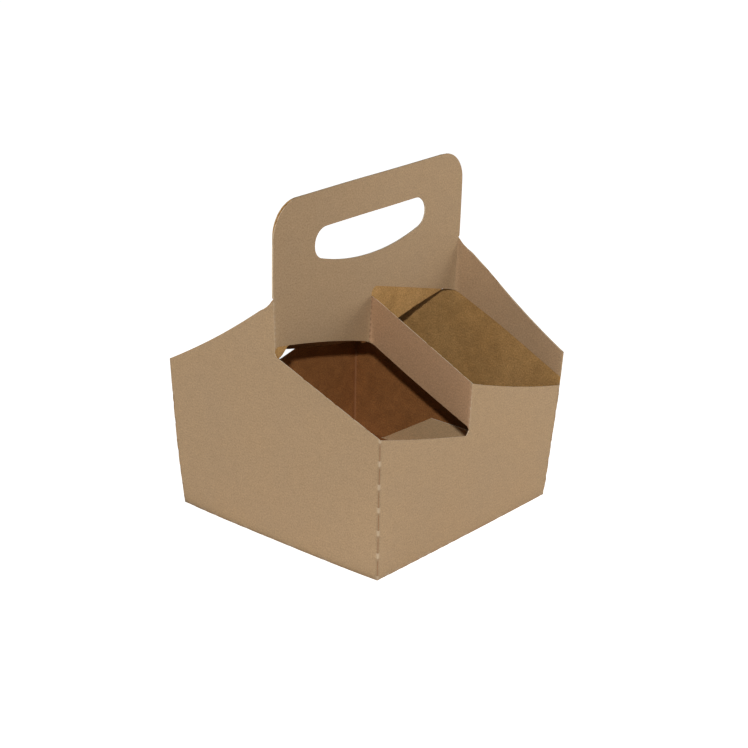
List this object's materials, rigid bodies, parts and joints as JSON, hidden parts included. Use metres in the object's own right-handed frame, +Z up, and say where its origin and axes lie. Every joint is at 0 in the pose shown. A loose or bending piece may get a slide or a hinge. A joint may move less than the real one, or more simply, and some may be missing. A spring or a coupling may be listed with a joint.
{
  "type": "cardboard cup carrier",
  "caption": "Folded kraft-board carrier for hot drinks: square tray of leaning walls, crossing straps that part the cups, folded base and a tall doubled handle with a finger slot.",
  "frame": {"origin": "centre of the square foot, on the surface the carrier stands on", "axes": "+Z up through the handle, X along the handle, Y across it, with the low left cell opening at -X -Y"},
  "size_m": [0.1938, 0.189, 0.237],
  "materials": {
    "kraft_board": "matt uncoated kraft board, tan outside and darker golden brown inside"
  },
  "bodies": {
    "root": {"cup_carrier": "kraft_board"}
  },
  "joints": []
}
